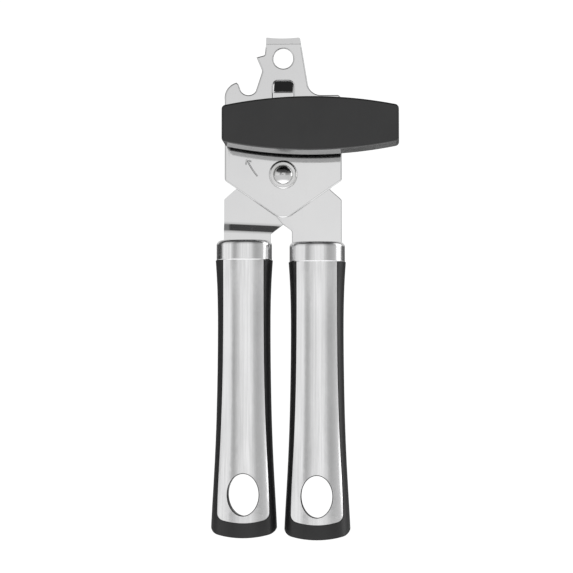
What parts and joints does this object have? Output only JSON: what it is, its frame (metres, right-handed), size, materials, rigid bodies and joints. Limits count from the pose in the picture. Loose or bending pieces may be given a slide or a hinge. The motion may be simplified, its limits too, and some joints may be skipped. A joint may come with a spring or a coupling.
{
  "type": "manual can opener",
  "caption": "Hand-cranked can opener: two lever handles, oblong turning knob, meshed gears, feed wheel, cutting wheel and a bottle opener in the front plate.",
  "frame": {"origin": "centre of the hanging hole, halfway through the front plate", "axes": "+Z towards the bottle opener end, -Y the knob side, +X towards the handle that swings"},
  "size_m": [0.0786, 0.042, 0.2099],
  "materials": {
    "polished_steel": "polished stamped sheet",
    "brushed_steel": "brushed along the handle",
    "grip_plastic": "satin moulded black",
    "knob_plastic": "matte moulded charcoal",
    "hardware_steel": "bright plated",
    "hardened_steel": "ground and plated",
    "bushing_steel": "turned"
  },
  "bodies": {
    "frame": {"front_plate": "polished_steel", "left_tang": "polished_steel", "pivot_rivet": "hardware_steel", "shaft_bushing": "bushing_steel", "left_handle_core": "grip_plastic", "left_front_shell": "brushed_steel", "left_rear_shell": "brushed_steel", "left_collar": "brushed_steel"},
    "right_handle": {"right_tang": "polished_steel", "right_handle_core": "grip_plastic", "right_front_shell": "brushed_steel", "right_rear_shell": "brushed_steel", "right_collar": "brushed_steel", "cutter_post": "hardware_steel", "cutter_spacer": "hardware_steel", "cutter_washer": "hardware_steel"},
    "crank": {"turn_knob": "knob_plastic", "drive_shaft": "hardware_steel", "thrust_washer": "hardware_steel", "drive_gear": "hardened_steel", "feed_wheel": "hardened_steel"},
    "cutter": {"cutter_gear": "hardened_steel", "cutting_wheel": "hardened_steel"}
  },
  "joints": [
    {"name": "handle_pivot", "type": "hinge", "parent": "frame", "child": "right_handle", "pos_m": [0, 0, -0.0489], "axis": [0, -1, 0], "range_deg": [0, 35]},
    {"name": "knob_turn", "type": "hinge", "parent": "frame", "child": "crank", "pos_m": [0.0122, 0, -0.0302], "axis": [0, 1, 0], "continuous": true},
    {"name": "cutter_turn", "type": "hinge", "parent": "right_handle", "child": "cutter", "pos_m": [-0.0046, 0, -0.0302], "axis": [0, 1, 0], "continuous": true}
  ],
  "couplings": [
    {"joint": "cutter_turn", "follows": "knob_turn", "ratio": -1}
  ]
}
